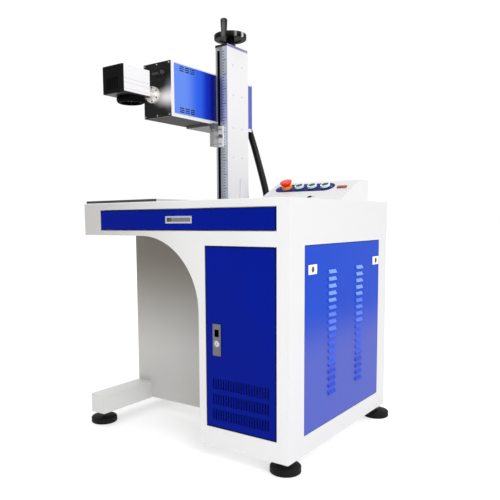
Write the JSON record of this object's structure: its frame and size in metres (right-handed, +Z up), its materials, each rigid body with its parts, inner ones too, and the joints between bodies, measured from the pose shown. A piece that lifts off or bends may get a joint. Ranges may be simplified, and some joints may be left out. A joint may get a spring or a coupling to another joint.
{
  "type": "laser marking machine",
  "caption": "Desk-style laser marking machine with a knee arch, drawer, pedestal door and side panel, console, hand-cranked column, laser box and scan head.",
  "frame": {"origin": "on the floor under the middle of the machine's outline", "axes": "+X towards the pedestal side, +Y towards the rear, +Z up; the drawer and the door face -Y"},
  "size_m": [0.8239, 0.707, 1.3923],
  "materials": {
    "front_enamel": "smooth semi-gloss enamel",
    "side_enamel": "smooth semi-gloss white enamel",
    "grey_enamel": "satin grey enamel",
    "blue_enamel": "smooth dark blue enamel",
    "side_blue": "smooth bright blue enamel",
    "box_blue": "smooth bright blue enamel",
    "rubber": "moulded black rubber",
    "steel": "bright ground steel",
    "plate": "machined face with a dark front edge",
    "badge": "printed blue film",
    "switch_rings": "moulded rings, one orange",
    "inserts": "dark moulded plastic",
    "column_metal": "extruded and anodised",
    "column_white": "smooth white enamel",
    "ruler": "printed aluminium strip",
    "dark_metal": "fine black coating",
    "slide_metal": "bright machined metal",
    "black_plate": "black anodised",
    "lens_black": "black anodised with a fine sheen",
    "lens_glass": "coated clear lens",
    "mirror": "coated mirror",
    "black_plastic": "moulded black plastic",
    "wheel": "gloss black",
    "hose": "smooth black hose",
    "pull_metal": "bright plated metal",
    "stop_red": "red moulded plastic",
    "button_green": "green moulded plastic"
  },
  "bodies": {
    "desk": {"front_fascia": "front_enamel", "table_top": "side_enamel", "pedestal_shell": "side_enamel", "pedestal_side_frame": "side_enamel", "leg_panel": "grey_enamel", "foot_beam": "grey_enamel", "foot_pads": "rubber", "foot_studs": "steel", "work_plate": "plate", "console_housing": "side_enamel", "console_badge": "badge", "switch_bodies": "switch_rings", "console_inserts": "inserts", "column_foot": "column_metal", "column_body": "column_metal", "column_side_cover": "column_white", "ruler_strip": "ruler", "column_cap": "dark_metal", "guide_rods": "steel", "drawer_runners": "steel", "laser_source": "dark_metal", "control_computer": "dark_metal", "door_hinges": "steel", "table_gland": "black_plastic", "hose": "hose"},
    "carriage": {"slide_block": "column_metal", "slide_plate": "slide_metal", "shelf_bracket": "dark_metal", "laser_case": "column_white", "laser_front_plate": "black_plate", "laser_rear_plate": "black_plate", "laser_side_panels": "box_blue", "beam_tube": "slide_metal", "galvo_housing": "column_white", "galvo_front_cover": "black_plate", "galvo_base_plate": "dark_metal", "lens_barrel": "lens_black", "lens_glass": "lens_glass", "galvo_motors": "slide_metal", "isolator": "slide_metal", "box_gland": "black_plastic"},
    "drawer": {"drawer_front": "blue_enamel", "drawer_tray": "slide_metal", "drawer_pull": "pull_metal"},
    "door": {"door_panel": "blue_enamel", "door_lock_plate": "pull_metal"},
    "door_lock": {"door_lock_barrel": "steel"},
    "side_cover": {"side_panel": "side_blue"},
    "front_latch": {"side_latch_front": "black_plastic"},
    "rear_latch": {"side_latch_rear": "black_plastic"},
    "crank": {"handwheel": "wheel", "lead_screw": "steel"},
    "crank_grip": {"wheel_grip": "black_plastic"},
    "side_clamp": {"clamp_knob": "black_plastic"},
    "stop_head": {"estop_button": "stop_red"},
    "button_1": {"green_button_1": "button_green"},
    "button_2": {"green_button_2": "button_green"},
    "button_3": {"green_button_3": "button_green"},
    "mirror_x": {"scan_mirror_x": "mirror"},
    "mirror_y": {"scan_mirror_y": "mirror"}
  },
  "joints": [
    {"name": "carriage_lift", "type": "slide", "parent": "desk", "child": "carriage", "axis": [0, 0, 1], "range_m": [-0.17, 0.11], "deforming": ["hose"]},
    {"name": "handwheel_turn", "type": "hinge", "parent": "desk", "child": "crank", "pos_m": [-0.154, 0.1625, 1.3], "axis": [0, 0, 1], "range_deg": [-3961, 6121]},
    {"name": "grip_spin", "type": "hinge", "parent": "crank", "child": "crank_grip", "pos_m": [-0.14839, 0.11684, 1.37], "axis": [0, 0, 1], "continuous": true},
    {"name": "clamp_turn", "type": "hinge", "parent": "carriage", "child": "side_clamp", "pos_m": [-0.146, 0.0875, 0.9805], "axis": [0, 1, 0], "range_deg": [0, 180]},
    {"name": "drawer_slide", "type": "slide", "parent": "desk", "child": "drawer", "axis": [0, -1, 0], "range_m": [0, 0.3]},
    {"name": "door_swing", "type": "hinge", "parent": "desk", "child": "door", "pos_m": [0.3415, -0.3305, 0.352], "axis": [0, 0, 1], "range_deg": [0, 100]},
    {"name": "lock_turn", "type": "hinge", "parent": "door", "child": "door_lock", "pos_m": [0.1555, -0.3295, 0.338], "axis": [0, 1, 0], "range_deg": [0, 90]},
    {"name": "side_panel_tilt", "type": "hinge", "parent": "desk", "child": "side_cover", "pos_m": [0.385, 0.001, 0.092], "axis": [0, 1, 0], "range_deg": [0, 35]},
    {"name": "front_latch_turn", "type": "hinge", "parent": "side_cover", "child": "front_latch", "pos_m": [0.375, -0.2095, 0.546], "axis": [-1, 0, 0], "range_deg": [0, 90]},
    {"name": "rear_latch_turn", "type": "hinge", "parent": "side_cover", "child": "rear_latch", "pos_m": [0.375, 0.2235, 0.546], "axis": [1, 0, 0], "range_deg": [0, 90]},
    {"name": "stop_push", "type": "slide", "parent": "desk", "child": "stop_head", "axis": [0, 0.4336, -0.9011], "range_m": [0, 0.004], "stiffness_N_per_m": 1500, "springref_m": -0.003},
    {"name": "button_1_push", "type": "slide", "parent": "desk", "child": "button_1", "axis": [0, 0.4336, -0.9011], "range_m": [0, 0.003], "stiffness_N_per_m": 800, "springref_m": -0.002},
    {"name": "button_2_push", "type": "slide", "parent": "desk", "child": "button_2", "axis": [0, 0.4336, -0.9011], "range_m": [0, 0.003], "stiffness_N_per_m": 800, "springref_m": -0.002},
    {"name": "button_3_push", "type": "slide", "parent": "desk", "child": "button_3", "axis": [0, 0.4336, -0.9011], "range_m": [0, 0.003], "stiffness_N_per_m": 800, "springref_m": -0.002},
    {"name": "mirror_x_turn", "type": "hinge", "parent": "carriage", "child": "mirror_x", "pos_m": [-0.254, -0.2615, 1.1], "axis": [0, 0, 1], "range_deg": [-12, 12]},
    {"name": "mirror_y_turn", "type": "hinge", "parent": "carriage", "child": "mirror_y", "pos_m": [-0.237, -0.2615, 1.1], "axis": [0, 1, 0], "range_deg": [-12, 12]}
  ],
  "couplings": [
    {"joint": "handwheel_turn", "follows": "carriage_lift", "rad_per_m": -628.32}
  ]
}
